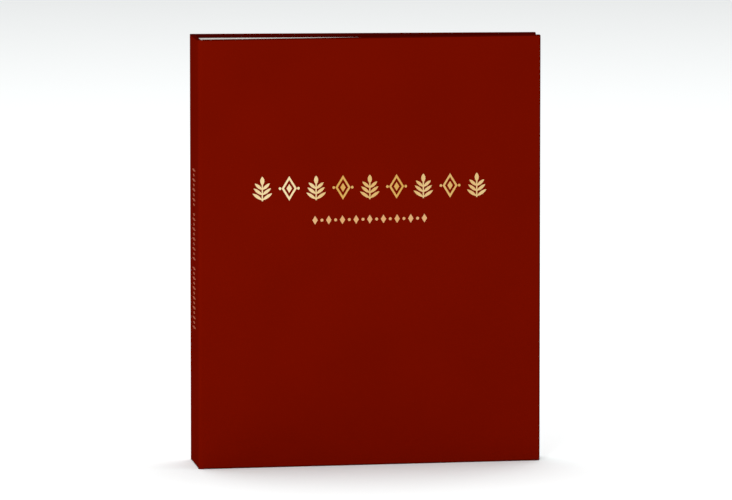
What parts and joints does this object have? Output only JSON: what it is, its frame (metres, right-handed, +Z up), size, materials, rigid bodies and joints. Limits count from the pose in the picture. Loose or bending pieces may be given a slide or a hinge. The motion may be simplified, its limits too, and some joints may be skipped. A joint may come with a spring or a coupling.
{
  "type": "family record ring binder",
  "caption": "Closed hardcover ring binder standing upright, with foil ornament, ring mechanism on the spine, lever-opened rings and punched cards and document sleeves.",
  "frame": {"origin": "middle of the closed binder's footprint, on the surface it stands on", "axes": "+Z up along the spine's height, +X from the spine towards the fore-edge, front cover faces -Y"},
  "size_m": [0.19, 0.042, 0.235],
  "materials": {
    "board": "matt grey board",
    "cover_paper": "smooth matt laminate, dark red",
    "white_paper": "smooth matt",
    "gold_foil": "hot-stamped gold foil",
    "nickel_steel": "bright nickel plate",
    "card": "matt cream card",
    "document_paper": "matt",
    "clear_film": "clear polypropylene film"
  },
  "bodies": {
    "spine": {"spine_board": "board", "spine_wrap": "cover_paper", "spine_lining": "white_paper", "spine_title_foil": "gold_foil", "front_hinge_strip": "cover_paper", "back_hinge_strip": "cover_paper", "mechanism_housing": "nickel_steel", "mechanism_rivets": "nickel_steel"},
    "front_cover": {"front_board": "board", "front_cover_wrap": "cover_paper", "front_endpaper": "white_paper", "front_title_foil": "gold_foil"},
    "back_cover": {"back_board": "board", "back_cover_wrap": "cover_paper", "back_endpaper": "white_paper"},
    "front_ring_side": {"front_blade": "nickel_steel", "front_ring_half_upper": "nickel_steel", "front_ring_half_lower": "nickel_steel"},
    "back_ring_side": {"back_blade": "nickel_steel", "back_ring_half_upper": "nickel_steel", "back_ring_half_lower": "nickel_steel"},
    "upper_lever": {"upper_lever": "nickel_steel"},
    "lower_lever": {"lower_lever": "nickel_steel"},
    "leaf_1": {"title_card": "card"},
    "leaf_2": {"sleeve_1": "clear_film", "certificate_1": "document_paper"},
    "leaf_3": {"chapter_card_1": "card"},
    "leaf_4": {"sleeve_2": "clear_film", "certificate_2": "document_paper"},
    "leaf_5": {"chapter_card_2": "card"},
    "leaf_6": {"sleeve_3": "clear_film", "certificate_3": "document_paper"},
    "leaf_7": {"chapter_card_3": "card"},
    "leaf_8": {"sleeve_4": "clear_film", "certificate_4": "document_paper"},
    "leaf_9": {"end_card": "card"}
  },
  "joints": [
    {"name": "front_cover_hinge", "type": "hinge", "parent": "spine", "child": "front_cover", "pos_m": [-0.09451, -0.02063, 0.1175], "axis": [0, 0, -1], "range_deg": [0, 180], "deforming": ["front_hinge_strip"]},
    {"name": "back_cover_hinge", "type": "hinge", "parent": "spine", "child": "back_cover", "pos_m": [-0.09451, 0.02063, 0.1175], "axis": [0, 0, 1], "range_deg": [0, 180], "deforming": ["back_hinge_strip"]},
    {"name": "ring_opening", "type": "hinge", "parent": "spine", "child": "front_ring_side", "pos_m": [-0.09027, -0.0116, 0.1175], "axis": [0, 0, -1], "range_deg": [0, 8]},
    {"name": "back_ring_opening", "type": "hinge", "parent": "spine", "child": "back_ring_side", "pos_m": [-0.09027, 0.0116, 0.1175], "axis": [0, 0, 1], "range_deg": [0, 8]},
    {"name": "upper_lever_pivot", "type": "hinge", "parent": "spine", "child": "upper_lever", "pos_m": [-0.09137, 0, 0.1909], "axis": [0, -1, 0], "range_deg": [0, 35]},
    {"name": "lower_lever_pivot", "type": "hinge", "parent": "spine", "child": "lower_lever", "pos_m": [-0.09137, 0, 0.0441], "axis": [0, 1, 0], "range_deg": [0, 35]},
    {"name": "leaf_1_turn", "type": "hinge", "parent": "spine", "child": "leaf_1", "pos_m": [-0.07942, 0, 0.1175], "axis": [0, 0, -1], "range_deg": [0, 90]},
    {"name": "leaf_2_turn", "type": "hinge", "parent": "spine", "child": "leaf_2", "pos_m": [-0.07942, 0, 0.1175], "axis": [0, 0, -1], "range_deg": [0, 79.2]},
    {"name": "leaf_3_turn", "type": "hinge", "parent": "spine", "child": "leaf_3", "pos_m": [-0.07942, 0, 0.1175], "axis": [0, 0, -1], "range_deg": [0, 68.4]},
    {"name": "leaf_4_turn", "type": "hinge", "parent": "spine", "child": "leaf_4", "pos_m": [-0.07942, 0, 0.1175], "axis": [0, 0, -1], "range_deg": [0, 57.6]},
    {"name": "leaf_5_turn", "type": "hinge", "parent": "spine", "child": "leaf_5", "pos_m": [-0.07942, 0, 0.1175], "axis": [0, 0, -1], "range_deg": [0, 46.8]},
    {"name": "leaf_6_turn", "type": "hinge", "parent": "spine", "child": "leaf_6", "pos_m": [-0.07942, 0, 0.1175], "axis": [0, 0, -1], "range_deg": [0, 36]},
    {"name": "leaf_7_turn", "type": "hinge", "parent": "spine", "child": "leaf_7", "pos_m": [-0.07942, 0, 0.1175], "axis": [0, 0, -1], "range_deg": [0, 25.2]},
    {"name": "leaf_8_turn", "type": "hinge", "parent": "spine", "child": "leaf_8", "pos_m": [-0.07942, 0, 0.1175], "axis": [0, 0, -1], "range_deg": [0, 14.4]},
    {"name": "leaf_9_turn", "type": "hinge", "parent": "spine", "child": "leaf_9", "pos_m": [-0.07942, 0, 0.1175], "axis": [0, 0, -1], "range_deg": [0, 5.4]}
  ],
  "couplings": [
    {"joint": "back_ring_opening", "follows": "ring_opening", "ratio": 1},
    {"joint": "upper_lever_pivot", "follows": "ring_opening", "ratio": 4.375},
    {"joint": "lower_lever_pivot", "follows": "ring_opening", "ratio": 4.375},
    {"joint": "leaf_1_turn", "follows": "front_cover_hinge", "ratio": 0.5},
    {"joint": "leaf_2_turn", "follows": "front_cover_hinge", "ratio": 0.44},
    {"joint": "leaf_3_turn", "follows": "front_cover_hinge", "ratio": 0.38},
    {"joint": "leaf_4_turn", "follows": "front_cover_hinge", "ratio": 0.32},
    {"joint": "leaf_5_turn", "follows": "front_cover_hinge", "ratio": 0.26},
    {"joint": "leaf_6_turn", "follows": "front_cover_hinge", "ratio": 0.2},
    {"joint": "leaf_7_turn", "follows": "front_cover_hinge", "ratio": 0.14},
    {"joint": "leaf_8_turn", "follows": "front_cover_hinge", "ratio": 0.08},
    {"joint": "leaf_9_turn", "follows": "front_cover_hinge", "ratio": 0.03}
  ]
}
